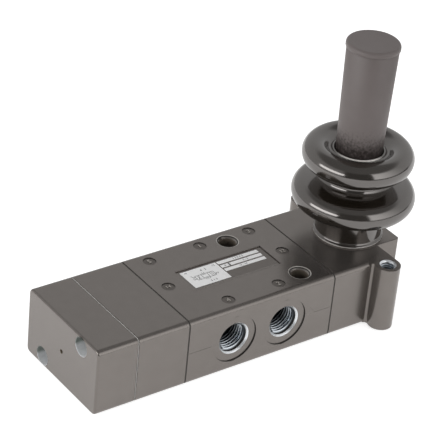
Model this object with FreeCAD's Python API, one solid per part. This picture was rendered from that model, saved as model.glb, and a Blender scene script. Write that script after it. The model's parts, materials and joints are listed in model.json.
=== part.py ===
import FreeCAD, Part
import math
import os

from FreeCAD import Vector

# Hand lever spool valve, five ports and three positions, in millimetres.
# X runs along the bar towards the lever, Y towards the three-port side, Z up.
# The origin is midway between the two mounting holes, on the underside.

# The bar and its four blocks
bar_width = 50.0
bar_height = 29.6
long_edge_radius = 2.3
end_cap_length = 18.0
end_cap_edge_radius = 1.0
spring_housing_length = 22.9
lever_housing_length = 29.3
gasket_thickness = 0.6
gasket_inset = 0.15

# Ports: three on the far side, two on the near side, all on the spool's height
port_count = 5
port_pitch = 12.25
first_port_offset = 9.8
last_port_offset = 11.3
port_thread_radius = 6.58
port_thread_depth = 11.0
port_mouth_radius = 7.05
port_passage_radius = 4.25
spotface_radius = 10.4
spotface_depth = 0.5

# Two vertical mounting holes, beside the last two ports
mounting_hole_radius = 3.5
mounting_hole_offset = 16.35
mounting_chamfer_radius = 4.5

# Recesses in the top face
label_length = 40.0
label_width = 12.6
label_thickness = 0.4
label_recess_margin = 1.0
label_recess_depth = 0.5
label_centre_from_port_1 = 0.9
mark_radius = 2.7
mark_depth = 0.3
mark_row_offset = 18.6
end_mark_gap = 3.5

# Spool, cages and seals
bore_radius = 9.0
cage_clearance = 0.05
cage_inner_radius = 5.9
cage_groove_radius = 7.6
cage_groove_width = 6.0
cage_window_radius = 2.1
cage_window_count = 6
seal_width = 2.25
seal_lip_clearance = 0.05
seal_section_radius = 1.1
spool_radius = 5.5
spool_groove_radius = 3.6
seal_overlap = 0.3
spool_start_inset = 1.0
spool_end_reach = 6.4
yoke_stud_radius = 2.5
yoke_stud_length = 8.0

# Centring springs at the spool's far end
spring_chamber_radius = 9.5
cap_floor_thickness = 8.0
vent_radius = 0.8
spring_collar_radius = 8.6
spring_collar_thickness = 3.0
spool_stem_radius = 3.0
spring_mean_radius = 6.6
spring_wire_radius = 0.75
spring_turns = 4.5
collar_screw_radius = 1.6
collar_screw_length = 10.0
collar_screw_head_radius = 2.9
collar_screw_head_height = 2.4
collar_screw_tip_gap = 1.0

# Screws along the bar
screw_radius = 2.0
screw_hole_clearance = 0.2
screw_thread_clearance = 0.02
screw_head_radius = 3.4
screw_head_height = 4.0
screw_socket_radius = 1.75
screw_socket_depth = 2.2
head_recess_radius = 3.9
screw_face_inset = 4.4
cap_screw_side_inset = 11.8
cap_head_recess_depth = 11.0
cap_screw_engagement = 8.0
cap_screw_tip_gap = 1.0
lever_screw_side_inset = 6.0
lever_head_recess_depth = 4.4
lever_screw_engagement = 6.8

# Lever housing: lugs, extension and inner well
lug_radius = 5.25
lug_centre_stand = 3.55
lug_fillet_radius = 1.2
lug_hole_radius = 3.0
lug_chamfer_radius = 3.45
lug_bottom_rise = 0.8
lever_axis_inset = 3.75
extension_width = 30.0
extension_end_wall = 5.0
extension_corner_radius = 1.0
well_radius = 10.5
well_half_width = 7.5
well_floor_thickness = 4.6
spool_tunnel_radius = 7.0

# Lever pivot, below the top face
pivot_depth = 4.8
pivot_pin_radius = 2.5
pivot_pin_length = 24.4
pivot_clearance = 0.05
pivot_bush_wall = 1.0
pivot_hub_radius = 5.0
pivot_hub_width = 12.0
pivot_washer_radius = 4.2
pivot_washer_gap = 0.1
lever_stroke_degrees = 15.0

# Lever rod, ball and yoke
ball_radius = 3.0
ball_neck_radius = 1.8
ball_slot_clearance = 0.15
yoke_flat_height = 2.0
yoke_flat_reach = 7.0
yoke_slot_depth = 3.6
yoke_end_wall = 2.2
rod_radius = 4.0
rod_grip_engagement = 23.5
rod_end_chamfer = 0.8
lock_nut_across_flats = 13.0
lock_nut_height = 5.0

# Grip
grip_length = 54.8
grip_bottom_radius = 9.5
grip_body_radius = 10.65
grip_cap_radius = 11.05
grip_cap_height = 2.4
grip_edge_radius = 1.3
grip_bottom_chamfer = 1.0
grip_bore_clearance = 0.04
grip_bore_tip_gap = 1.5

# Boot collar, seated in the top of the lever housing
collar_seat_radius = 12.6
collar_seat_depth = 2.0
collar_inner_radius = 8.9
collar_neck_radius = 11.6
collar_flange_height = 1.4
collar_height = 7.9
collar_bead_radius = 12.1
collar_bead_height = 1.5
collar_bead_lead = 0.5

# Rubber boot: each fold is a circle of the outer outline, as radius from the
# lever's axis, height above the top face, and radius of the circle
boot_wall = 1.5
boot_lip_radius = 14.6
boot_lip_height = 1.0
boot_root_fold = (15.9, 11.0, 2.2)
boot_lower_fold = (20.1, 18.7, 5.5)
boot_waist_fold = (16.2, 27.6, 2.5)
boot_upper_fold = (17.6, 36.4, 5.5)
boot_top_fold = (11.3, 40.1, 1.6)
boot_grip_clearance = 0.2
boot_grip_cover = 5.6

# Positions worked out from the sizes
lever_stroke = math.radians(lever_stroke_degrees)
spool_height = bar_height / 2
half_width = bar_width / 2
port_offsets = [first_port_offset + i * port_pitch for i in range(port_count)]
valve_body_length = port_offsets[-1] + last_port_offset
pattern_offset = (port_offsets[-2] + port_offsets[-1]) / 2
cap_x = -(end_cap_length + spring_housing_length + 2 * gasket_thickness + pattern_offset)
spring_x = cap_x + end_cap_length + gasket_thickness
body_x = spring_x + spring_housing_length + gasket_thickness
body_end_x = body_x + valve_body_length
lever_x = body_end_x + gasket_thickness
lever_end_x = lever_x + lever_housing_length
port_x = [body_x + offset for offset in port_offsets]
far_port_x = port_x[0::2]
near_port_x = port_x[1::2]
seal_x = [x - port_pitch / 2 for x in port_x] + [port_x[-1] + port_pitch / 2]
mounting_holes = [(port_x[-2], mounting_hole_offset), (port_x[-1], -mounting_hole_offset)]
lever_axis_x = lever_end_x - lever_axis_inset
extension_end_x = lever_axis_x + well_radius + extension_end_wall
lug_x = lever_end_x - lug_radius
lug_y = half_width + lug_centre_stand
pivot_height = bar_height - pivot_depth
lever_arm = pivot_height - spool_height
spool_stroke = lever_arm * lever_stroke
chamber_x = cap_x + cap_floor_thickness
spring_collar_x = (chamber_x + body_x - spring_collar_thickness) / 2
collar_top_height = bar_height + collar_height
boot_top_height = bar_height + boot_top_fold[1] - boot_top_fold[2]
grip_bottom_height = boot_top_height - boot_grip_cover
grip_top_height = grip_bottom_height + grip_length
rod_thread_end = grip_bottom_height + rod_grip_engagement
upper_screw_height = bar_height - screw_face_inset
cap_screw_y = half_width - cap_screw_side_inset
lever_screw_y = half_width - lever_screw_side_inset
cap_screws = [(-cap_screw_y, upper_screw_height), (cap_screw_y, screw_face_inset)]
lever_screws = [(-lever_screw_y, upper_screw_height), (lever_screw_y, screw_face_inset)]


def box(x0, x1, y0, y1, z0, z1):
    return Part.makeBox(x1 - x0, y1 - y0, z1 - z0, Vector(x0, y0, z0))


def rod_x(x0, x1, radius, y=0.0, z=spool_height):
    return Part.makeCylinder(radius, x1 - x0, Vector(x0, y, z), Vector(1, 0, 0))


def rod_y(y0, y1, radius, x, z):
    return Part.makeCylinder(radius, y1 - y0, Vector(x, y0, z), Vector(0, 1, 0))


def rod_z(z0, z1, radius, x, y):
    return Part.makeCylinder(radius, z1 - z0, Vector(x, y, z0), Vector(0, 0, 1))


def mouth(centre, direction, hole_radius, mouth_radius):
    """Cone that opens a hole to a 45 degree chamfer at its mouth."""
    depth = mouth_radius - hole_radius
    start = centre - direction * depth
    return Part.makeCone(hole_radius, mouth_radius, depth, start, direction)


def profile_face(edges):
    return Part.Face(Part.Wire(edges))


def polyline(points):
    return [Part.LineSegment(a, b).toShape() for a, b in zip(points, points[1:])]


def revolve_x(points, z=spool_height):
    """Solid of revolution about the spool's axis from (x, radius) points."""
    outline = [Vector(x, 0, z + r) for x, r in points]
    outline.append(outline[0])
    return profile_face(polyline(outline)).revolve(Vector(0, 0, z), Vector(1, 0, 0), 360)


def bar_block(x0, x1, inset=0.0):
    """Length of the bar's section, with its four long edges rounded."""
    block = box(x0, x1, inset - half_width, half_width - inset, inset, bar_height - inset)
    long_edges = [e for e in block.Edges if abs(e.tangentAt(e.FirstParameter).x) > 0.99]
    return block.makeFillet(long_edge_radius - inset, long_edges)


def cut_all(solid, tools):
    for tool in tools:
        solid = solid.cut(tool)
    return solid


def end_cap():
    """Closed end of the bar, with a small rounding all round its outer face."""
    block = bar_block(cap_x, cap_x + end_cap_length)
    rim = [e for e in block.Edges if e.BoundBox.XMax < cap_x + end_cap_edge_radius]
    block = block.makeFillet(end_cap_edge_radius, rim)
    tools = [
        rod_x(chamber_x, cap_x + end_cap_length, spring_chamber_radius),
        rod_x(cap_x, chamber_x, vent_radius),
    ]
    for y, z in cap_screws:
        tools.append(rod_x(cap_x, cap_x + cap_head_recess_depth, head_recess_radius, y, z))
        tools.append(rod_x(cap_x, cap_x + end_cap_length, screw_radius + screw_hole_clearance, y, z))
    return cut_all(block, tools)


def spring_housing():
    block = bar_block(spring_x, spring_x + spring_housing_length)
    tools = [rod_x(spring_x, spring_x + spring_housing_length, spring_chamber_radius)]
    for y, z in cap_screws:
        hole_radius = screw_radius + screw_hole_clearance
        tools.append(rod_x(spring_x, spring_x + spring_housing_length, hole_radius, y, z))
    return cut_all(block, tools)


def gasket(x0, opening_radius, screws):
    sheet = bar_block(x0, x0 + gasket_thickness, gasket_inset)
    tools = [rod_x(x0, x0 + gasket_thickness, opening_radius)]
    for y, z in screws:
        tools.append(rod_x(x0, x0 + gasket_thickness, screw_radius + screw_hole_clearance, y, z))
    return cut_all(sheet, tools)


def port_tools(x, side):
    """Threaded port, its mouth, spotface and passage to the bore; side is -1 near, 1 far."""
    face = half_width * side
    floor = face - spotface_depth * side
    thread_end = face - port_thread_depth * side
    outward = Vector(0, side, 0)
    spans = [
        (spotface_radius, floor, face),
        (port_thread_radius, thread_end, face),
        (port_passage_radius, 0, thread_end),
    ]
    tools = [rod_y(min(a, b), max(a, b), radius, x, spool_height) for radius, a, b in spans]
    tools.append(mouth(Vector(x, floor, spool_height), outward, port_thread_radius, port_mouth_radius))
    return tools


def top_marks():
    """Centres of the seven round recesses for the port numbers."""
    centres = [(x, mark_row_offset) for x in far_port_x]
    centres += [(x, -mark_row_offset) for x in near_port_x]
    centres += [(port_x[0] - end_mark_gap, 0), (port_x[-1] + end_mark_gap, 0)]
    return centres


def label_centre_x():
    return port_x[2] + label_centre_from_port_1


def valve_body():
    block = bar_block(body_x, body_end_x)
    tools = [rod_x(body_x, body_end_x, bore_radius)]
    for x in far_port_x:
        tools += port_tools(x, 1)
    for x in near_port_x:
        tools += port_tools(x, -1)
    for x, y in mounting_holes:
        tools.append(rod_z(0, bar_height, mounting_hole_radius, x, y))
        tools.append(mouth(Vector(x, y, bar_height), Vector(0, 0, 1), mounting_hole_radius, mounting_chamfer_radius))
    for y, z in cap_screws:
        depth = cap_screw_engagement + cap_screw_tip_gap
        tools.append(rod_x(body_x, body_x + depth, screw_radius + screw_thread_clearance, y, z))
    for y, z in lever_screws:
        depth = lever_screw_engagement + screw_hole_clearance
        tools.append(rod_x(body_end_x - depth, body_end_x, screw_radius + screw_thread_clearance, y, z))
    half_length = label_length / 2 + label_recess_margin
    half_recess = label_width / 2 + label_recess_margin
    floor = bar_height - label_recess_depth
    centre = label_centre_x()
    tools.append(box(centre - half_length, centre + half_length, -half_recess, half_recess, floor, bar_height))
    for x, y in top_marks():
        tools.append(rod_z(bar_height - mark_depth, bar_height, mark_radius, x, y))
    return cut_all(block, tools)


def label_plate():
    floor = bar_height - label_recess_depth
    x = label_centre_x() - label_length / 2
    return box(x, x + label_length, -label_width / 2, label_width / 2, floor, floor + label_thickness)


def lug(side):
    """Round boss beside the housing, blended into its face by a small fillet."""
    centre = Vector(lug_x, -lug_y, 0)
    fillet_y = -half_width - lug_fillet_radius
    reach = lug_radius + lug_fillet_radius
    fillet_x = lug_x - math.sqrt(reach ** 2 - (lug_y + fillet_y) ** 2)
    fillet_centre = Vector(fillet_x, fillet_y, 0)
    to_fillet = (fillet_centre - centre).normalize()
    tangent = centre + to_fillet * lug_radius
    start = Vector(lever_end_x, -lug_y, 0)
    foot = Vector(fillet_x, -half_width, 0)
    lean = Vector(1, 1, 0).normalize()
    root_y = -half_width + long_edge_radius
    edges = [
        Part.LineSegment(Vector(lever_end_x, root_y, 0), start).toShape(),
        Part.Arc(start, centre + Vector(0, -lug_radius, 0), tangent).toShape(),
        Part.Arc(tangent, fillet_centre + lean * lug_fillet_radius, foot).toShape(),
        Part.LineSegment(foot, Vector(fillet_x, root_y, 0)).toShape(),
        Part.LineSegment(Vector(fillet_x, root_y, 0), Vector(lever_end_x, root_y, 0)).toShape(),
    ]
    boss = profile_face(edges).extrude(Vector(0, 0, bar_height - lug_bottom_rise))
    boss.translate(Vector(0, 0, lug_bottom_rise))
    tools = [rod_z(0, bar_height, lug_hole_radius, lug_x, -lug_y)]
    for z, up in ((bar_height, 1), (lug_bottom_rise, -1)):
        tools.append(mouth(Vector(lug_x, -lug_y, z), Vector(0, 0, up), lug_hole_radius, lug_chamfer_radius))
    boss = cut_all(boss, tools)
    return boss if side < 0 else boss.mirror(Vector(0, 0, 0), Vector(0, 1, 0))


def lever_housing():
    block = bar_block(lever_x, lever_end_x)
    half_extension = extension_width / 2
    extension = box(lever_axis_x, extension_end_x, -half_extension, half_extension, 0, bar_height)
    corners = [
        e for e in extension.Edges
        if abs(e.tangentAt(e.FirstParameter).z) > 0.99 and e.Vertexes[0].X > lever_end_x
    ]
    extension = extension.makeFillet(extension_corner_radius, corners)
    solid = block.fuse([extension, lug(-1), lug(1)]).removeSplitter()
    well = rod_z(well_floor_thickness, bar_height, well_radius, lever_axis_x, 0)
    slab = box(lever_axis_x - well_radius, lever_axis_x + well_radius, -well_half_width, well_half_width, 0, bar_height)
    pin_hole_radius = pivot_pin_radius + screw_thread_clearance
    half_pin = pivot_pin_length / 2 + pivot_washer_gap
    tools = [
        well.common(slab),
        rod_x(lever_x, lever_axis_x, spool_tunnel_radius),
        rod_z(bar_height - collar_seat_depth, bar_height, collar_seat_radius, lever_axis_x, 0),
        rod_y(-half_pin, half_pin, pin_hole_radius, lever_axis_x, pivot_height),
        box(lever_axis_x - pin_hole_radius, lever_axis_x + pin_hole_radius, -half_pin, half_pin, pivot_height, bar_height),
    ]
    for y, z in lever_screws:
        tools.append(rod_x(lever_x, lever_end_x, screw_radius + screw_hole_clearance, y, z))
        tools.append(rod_x(lever_end_x - lever_head_recess_depth, lever_end_x, head_recess_radius, y, z))
    return cut_all(solid, tools)


def socket_screw(tip_x, seat_x, y, z):
    """Socket head screw along X, its head on the seat's outer side."""
    outward = 1 if seat_x > tip_x else -1
    head_end = seat_x + outward * screw_head_height
    shank = rod_x(min(tip_x, seat_x), max(tip_x, seat_x), screw_radius, y, z)
    head = rod_x(min(seat_x, head_end), max(seat_x, head_end), screw_head_radius, y, z)
    hexagon = [
        Vector(head_end, y + screw_socket_radius * math.cos(a), z + screw_socket_radius * math.sin(a))
        for a in (math.pi / 3 * i for i in range(7))
    ]
    socket = profile_face(polyline(hexagon)).extrude(Vector(-outward * screw_socket_depth, 0, 0))
    return shank.fuse(head).cut(socket).removeSplitter()


def cap_screw(index):
    y, z = cap_screws[index]
    return socket_screw(body_x + cap_screw_engagement, cap_x + cap_head_recess_depth, y, z)


def lever_screw(index):
    y, z = lever_screws[index]
    return socket_screw(body_end_x - lever_screw_engagement, lever_end_x - lever_head_recess_depth, y, z)


def bore_cage(index):
    """Ring that holds two seals apart and lets the air through to its port."""
    outer = bore_radius - cage_clearance
    half = (port_pitch - seal_width) / 2
    groove = cage_groove_width / 2
    x = port_x[index]
    outline = [
        (x - half, cage_inner_radius),
        (x - half, outer),
        (x - groove, outer),
        (x - groove, cage_groove_radius),
        (x + groove, cage_groove_radius),
        (x + groove, outer),
        (x + half, outer),
        (x + half, cage_inner_radius),
    ]
    ring = revolve_x(outline)
    windows = []
    for i in range(cage_window_count // 2):
        window = rod_z(spool_height - outer, spool_height + outer, cage_window_radius, x, 0)
        window.rotate(Vector(x, 0, spool_height), Vector(1, 0, 0), 360 / cage_window_count * i)
        windows.append(window)
    return cut_all(ring, windows)


def bore_seal(index):
    """Lip seal: a flat ring with a rounded inner lip that meets the spool."""
    half = seal_width / 2
    lip_radius = spool_radius + seal_lip_clearance
    outer = bore_radius - cage_clearance
    x = seal_x[index]
    z = spool_height
    shoulder = lip_radius + seal_section_radius
    corner_left = Vector(x - seal_section_radius, 0, z + shoulder)
    corner_right = Vector(x + seal_section_radius, 0, z + shoulder)
    edges = [
        Part.Arc(corner_left, Vector(x, 0, z + lip_radius), corner_right).toShape(),
    ]
    edges += polyline([
        corner_right,
        Vector(x + half, 0, z + shoulder),
        Vector(x + half, 0, z + outer),
        Vector(x - half, 0, z + outer),
        Vector(x - half, 0, z + shoulder),
        corner_left,
    ])
    return profile_face(edges).revolve(Vector(0, 0, z), Vector(1, 0, 0), 360)


def seal_retainer(x0, x1):
    outer = bore_radius - cage_clearance
    return rod_x(x0, x1, outer).cut(rod_x(x0, x1, cage_inner_radius))


def spool():
    """Grooved spool: wide grooves at the working ports, narrow ones at the others."""
    wide = port_pitch - seal_width - 2 * seal_overlap
    narrow = port_pitch - seal_width - 2 * spool_stroke
    start = body_x + spool_start_inset
    end = lever_x + spool_end_reach
    points = [
        (spring_collar_x + spring_collar_thickness, 0),
        (spring_collar_x + spring_collar_thickness, spool_stem_radius),
        (start, spool_stem_radius),
        (start, spool_radius),
    ]
    for i, x in enumerate(port_x):
        half = (wide if i % 2 else narrow) / 2
        points += [
            (x - half, spool_radius),
            (x - half, spool_groove_radius),
            (x + half, spool_groove_radius),
            (x + half, spool_radius),
        ]
    points += [
        (end, spool_radius),
        (end, yoke_stud_radius),
        (end + yoke_stud_length, yoke_stud_radius),
        (end + yoke_stud_length, 0),
    ]
    body = revolve_x(points)
    screw_x = spring_collar_x + spring_collar_thickness
    tip = screw_x + collar_screw_length - spring_collar_thickness + collar_screw_tip_gap
    return body.cut(rod_x(screw_x, tip, collar_screw_radius + screw_thread_clearance))


def spring_collar():
    end = spring_collar_x + spring_collar_thickness
    disc = rod_x(spring_collar_x, end, spring_collar_radius)
    return disc.cut(rod_x(spring_collar_x, end, collar_screw_radius + screw_hole_clearance))


def collar_screw():
    tip = spring_collar_x + collar_screw_length
    shank = rod_x(spring_collar_x, tip, collar_screw_radius)
    head = rod_x(spring_collar_x - collar_screw_head_height, spring_collar_x, collar_screw_head_radius)
    return shank.fuse(head).removeSplitter()


def coil_spring(x0, x1):
    """Compression spring along X; its wire lies within x0 and x1."""
    length = x1 - x0 - 2 * spring_wire_radius
    helix = Part.makeHelix(length / spring_turns, length, spring_mean_radius)
    section = Part.Circle(Vector(spring_mean_radius, 0, 0), Vector(0, 1, 0), spring_wire_radius).toShape()
    coil = Part.Wire(helix.Edges).makePipeShell([Part.Wire(section)], True, True)
    coil.rotate(Vector(0, 0, 0), Vector(0, 1, 0), 90)
    coil.translate(Vector(x0 + spring_wire_radius, 0, spool_height))
    return coil


def spool_yoke():
    """Round end piece with a cross slot that the lever's ball drives."""
    start = lever_x + spool_end_reach
    slot_half = ball_radius + ball_slot_clearance
    end = lever_axis_x + slot_half + yoke_end_wall
    top = spool_height + yoke_flat_height
    flat_x = lever_axis_x - yoke_flat_reach
    solid = rod_x(start, end, spool_radius)
    tools = [
        rod_x(start, start + yoke_stud_length + screw_hole_clearance, yoke_stud_radius + screw_thread_clearance),
        box(flat_x, end, -spool_radius, spool_radius, top, spool_height + spool_radius),
        box(
            lever_axis_x - slot_half, lever_axis_x + slot_half,
            -spool_radius, spool_radius,
            spool_height - yoke_slot_depth, spool_height + spool_radius,
        ),
    ]
    return cut_all(solid, tools)


def lever_rod():
    """Ball, neck, pivot hub and threaded rod in one piece."""
    hub_half = pivot_hub_width / 2
    axis = Vector(lever_axis_x, 0, 0)
    ball_top = spool_height + math.sqrt(ball_radius ** 2 - ball_neck_radius ** 2)
    bottom = Vector(0, 0, spool_height - ball_radius)
    equator = Vector(ball_radius, 0, spool_height)
    edges = [Part.Arc(bottom, equator, Vector(ball_neck_radius, 0, ball_top)).toShape()]
    edges += polyline([
        Vector(ball_neck_radius, 0, ball_top),
        Vector(ball_neck_radius, 0, pivot_height),
        Vector(rod_radius, 0, pivot_height),
        Vector(rod_radius, 0, rod_thread_end - rod_end_chamfer),
        Vector(rod_radius - rod_end_chamfer, 0, rod_thread_end),
        Vector(0, 0, rod_thread_end),
        bottom,
    ])
    stem = profile_face(edges).revolve(Vector(0, 0, 0), Vector(0, 0, 1), 360)
    stem.translate(axis)
    hub = rod_y(-hub_half, hub_half, pivot_hub_radius, lever_axis_x, pivot_height)
    bush_radius = pivot_pin_radius + pivot_clearance + pivot_bush_wall
    return stem.fuse(hub).cut(rod_y(-hub_half, hub_half, bush_radius, lever_axis_x, pivot_height))


def pivot_bush():
    half = pivot_hub_width / 2
    inner = pivot_pin_radius + pivot_clearance
    sleeve = rod_y(-half, half, inner + pivot_bush_wall, lever_axis_x, pivot_height)
    return sleeve.cut(rod_y(-half, half, inner, lever_axis_x, pivot_height))


def pivot_pin():
    half = pivot_pin_length / 2
    return rod_y(-half, half, pivot_pin_radius, lever_axis_x, pivot_height)


def pivot_washer(side):
    inner = pivot_hub_width / 2 + pivot_washer_gap
    outer = well_half_width - pivot_washer_gap
    y0, y1 = sorted((side * inner, side * outer))
    disc = rod_y(y0, y1, pivot_washer_radius, lever_axis_x, pivot_height)
    return disc.cut(rod_y(y0, y1, pivot_pin_radius + pivot_clearance, lever_axis_x, pivot_height))


def lock_nut():
    corner_radius = lock_nut_across_flats / math.sqrt(3)
    bottom = grip_bottom_height - lock_nut_height
    corners = [
        Vector(lever_axis_x + corner_radius * math.cos(a), corner_radius * math.sin(a), bottom)
        for a in (math.pi / 3 * i for i in range(7))
    ]
    nut = profile_face(polyline(corners)).extrude(Vector(0, 0, lock_nut_height))
    bore = rod_radius + grip_bore_clearance
    tools = [rod_z(bottom, grip_bottom_height, bore, lever_axis_x, 0)]
    return cut_all(nut, tools)


def grip_radius_at(height):
    """Radius of the grip's tapered body."""
    cap_bottom = grip_top_height - grip_cap_height
    share = (height - grip_bottom_height) / (cap_bottom - grip_bottom_height)
    return grip_bottom_radius + share * (grip_body_radius - grip_bottom_radius)


def lever_grip():
    """Tapered cylindrical knob under a slightly wider cap with a rounded edge."""
    axis = Vector(lever_axis_x, 0, 0)
    shoulder = grip_top_height - grip_edge_radius
    cap_bottom = grip_top_height - grip_cap_height
    cap_step = grip_cap_radius - grip_body_radius
    rim = grip_cap_radius - grip_edge_radius
    round_centre = Vector(rim, 0, shoulder)
    diagonal = Vector(1, 0, 1).normalize() * grip_edge_radius
    top_rim = Vector(rim, 0, grip_top_height)
    bore = rod_radius + grip_bore_clearance
    bore_top = rod_thread_end + grip_bore_tip_gap
    edges = polyline([
        Vector(0, 0, bore_top),
        Vector(bore, 0, bore_top),
        Vector(bore, 0, grip_bottom_height),
        Vector(grip_bottom_radius - grip_bottom_chamfer, 0, grip_bottom_height),
        Vector(grip_radius_at(grip_bottom_height + grip_bottom_chamfer), 0, grip_bottom_height + grip_bottom_chamfer),
        Vector(grip_body_radius, 0, cap_bottom),
        Vector(grip_cap_radius, 0, cap_bottom + cap_step),
        Vector(grip_cap_radius, 0, shoulder),
    ])
    edges += [
        Part.Arc(Vector(grip_cap_radius, 0, shoulder), round_centre + diagonal, top_rim).toShape(),
    ]
    edges += polyline([top_rim, Vector(0, 0, grip_top_height), Vector(0, 0, bore_top)])
    knob = profile_face(edges).revolve(Vector(0, 0, 0), Vector(0, 0, 1), 360)
    knob.translate(axis)
    return knob


def revolve_boot(edges):
    shell = profile_face(edges).revolve(Vector(0, 0, 0), Vector(0, 0, 1), 360)
    shell.translate(Vector(lever_axis_x, 0, 0))
    return shell


def boot_collar():
    """Ring pressed into the housing that carries the boot and keeps the pin down."""
    floor = bar_height - collar_seat_depth
    flange_top = bar_height + collar_flange_height
    seat = collar_seat_radius - screw_thread_clearance
    bead_top = collar_top_height
    bead_bottom = bead_top - collar_bead_height
    points = [
        (collar_inner_radius, floor),
        (seat, floor),
        (seat, flange_top),
        (collar_neck_radius, flange_top),
        (collar_neck_radius, bead_bottom),
        (collar_bead_radius, bead_bottom + collar_bead_lead),
        (collar_bead_radius, bead_top),
        (collar_inner_radius, bead_top),
        (collar_inner_radius, floor),
    ]
    return revolve_boot(polyline([Vector(r, 0, z) for r, z in points]))


def common_normal(first, second, bulge_first, bulge_second):
    """Angle of the outward normal of the line that touches two fold circles."""
    across = second[0] - first[0]
    rise = second[1] - first[1]
    lean = math.acos((bulge_first - bulge_second) / math.hypot(across, rise))
    return math.atan2(rise, across) - lean


def fold_outline(inward):
    """Upward outline through the folds, set in from the outer face by inward."""
    folds = [
        (boot_root_fold, -1),
        (boot_lower_fold, 1),
        (boot_waist_fold, -1),
        (boot_upper_fold, 1),
        (boot_top_fold, -1),
    ]
    bulges = [side * fold[2] - inward for fold, side in folds]
    angles = [0.0]
    for i in range(len(folds) - 1):
        angles.append(common_normal(folds[i][0], folds[i + 1][0], bulges[i], bulges[i + 1]))
    angles.append(math.pi / 2)
    edges = []
    for i, (fold, side) in enumerate(folds):
        middle = (angles[i] + angles[i + 1]) / 2
        first, middle, last = (
            Vector(fold[0] + bulges[i] * math.cos(a), 0, bar_height + fold[1] + bulges[i] * math.sin(a))
            for a in (angles[i], middle, angles[i + 1])
        )
        if edges:
            edges.append(Part.LineSegment(edges[-1].Vertexes[-1].Point, first).toShape())
        edges.append(Part.Arc(first, middle, last).toShape())
    return edges


def boot():
    """Folded rubber boot from the collar up to the grip."""
    outer = fold_outline(0.0)
    inner = fold_outline(boot_wall)
    neck_top = outer[0].Vertexes[0].Point
    inner_neck_top = inner[0].Vertexes[0].Point
    outer_end = outer[-1].Vertexes[-1].Point
    inner_end = inner[-1].Vertexes[-1].Point
    grip_line = grip_radius_at(outer_end.z) + boot_grip_clearance
    lip_top = bar_height + boot_lip_height
    flange_top = bar_height + collar_flange_height
    seat = collar_seat_radius
    edges = polyline([
        Vector(inner_neck_top.x, 0, inner_neck_top.z),
        Vector(inner_neck_top.x, 0, collar_top_height),
        Vector(collar_bead_radius, 0, collar_top_height),
        Vector(collar_bead_radius, 0, flange_top),
        Vector(seat, 0, flange_top),
        Vector(seat, 0, bar_height),
        Vector(boot_lip_radius, 0, bar_height),
        Vector(boot_lip_radius, 0, lip_top),
        Vector(neck_top.x, 0, lip_top + boot_lip_radius - neck_top.x),
        neck_top,
    ])
    edges += outer
    edges += polyline([
        outer_end,
        Vector(grip_line, 0, outer_end.z),
        Vector(grip_line, 0, inner_end.z),
        inner_end,
    ])
    edges += inner
    return revolve_boot(Part.__sortEdges__(edges))


def nodes():
    """Every piece by its name."""
    made = {
        "end_cap": end_cap(),
        "spring_housing": spring_housing(),
        "valve_body": valve_body(),
        "lever_housing": lever_housing(),
        "cap_gasket": gasket(cap_x + end_cap_length, spring_chamber_radius, cap_screws),
        "spring_side_gasket": gasket(body_x - gasket_thickness, bore_radius, cap_screws),
        "lever_side_gasket": gasket(body_end_x, spool_tunnel_radius, lever_screws),
        "label_plate": label_plate(),
        "seal_retainer_left": seal_retainer(body_x, seal_x[0] - seal_width / 2),
        "seal_retainer_right": seal_retainer(seal_x[-1] + seal_width / 2, body_end_x),
        "spring_outer": coil_spring(chamber_x, spring_collar_x),
        "spring_inner": coil_spring(spring_collar_x + spring_collar_thickness, body_x),
        "pivot_pin": pivot_pin(),
        "boot_collar": boot_collar(),
        "boot": boot(),
        "lever_rod": lever_rod(),
        "pivot_bush": pivot_bush(),
        "grip_lock_nut": lock_nut(),
        "lever_grip": lever_grip(),
        "spool": spool(),
        "spool_yoke": spool_yoke(),
        "spring_collar": spring_collar(),
        "collar_screw": collar_screw(),
    }
    for i, side in enumerate(("near", "far")):
        made[f"cap_screw_{side}"] = cap_screw(i)
        made[f"lever_screw_{side}"] = lever_screw(i)
        made[f"pivot_washer_{side}"] = pivot_washer(2 * i - 1)
    for i in range(port_count):
        made[f"bore_cage_{i + 1}"] = bore_cage(i)
    for i in range(port_count + 1):
        made[f"bore_seal_{i + 1}"] = bore_seal(i)
    return made


os.makedirs("parts", exist_ok=True)
for name, shape in nodes().items():
    shape.exportStep(f"parts/{name}.step")
    box_of = shape.BoundBox
    print(f"{name}: valid {shape.isValid()} solids {len(shape.Solids)} volume {shape.Volume:.1f} "
          f"x {box_of.XMin:.2f} {box_of.XMax:.2f} y {box_of.YMin:.2f} {box_of.YMax:.2f} "
          f"z {box_of.ZMin:.2f} {box_of.ZMax:.2f}")
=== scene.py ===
import bpy
import bmesh
import json
from math import acos, atan2, cos, degrees, hypot, pi, radians, sin, sqrt
from mathutils import Matrix, Vector, noise


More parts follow.
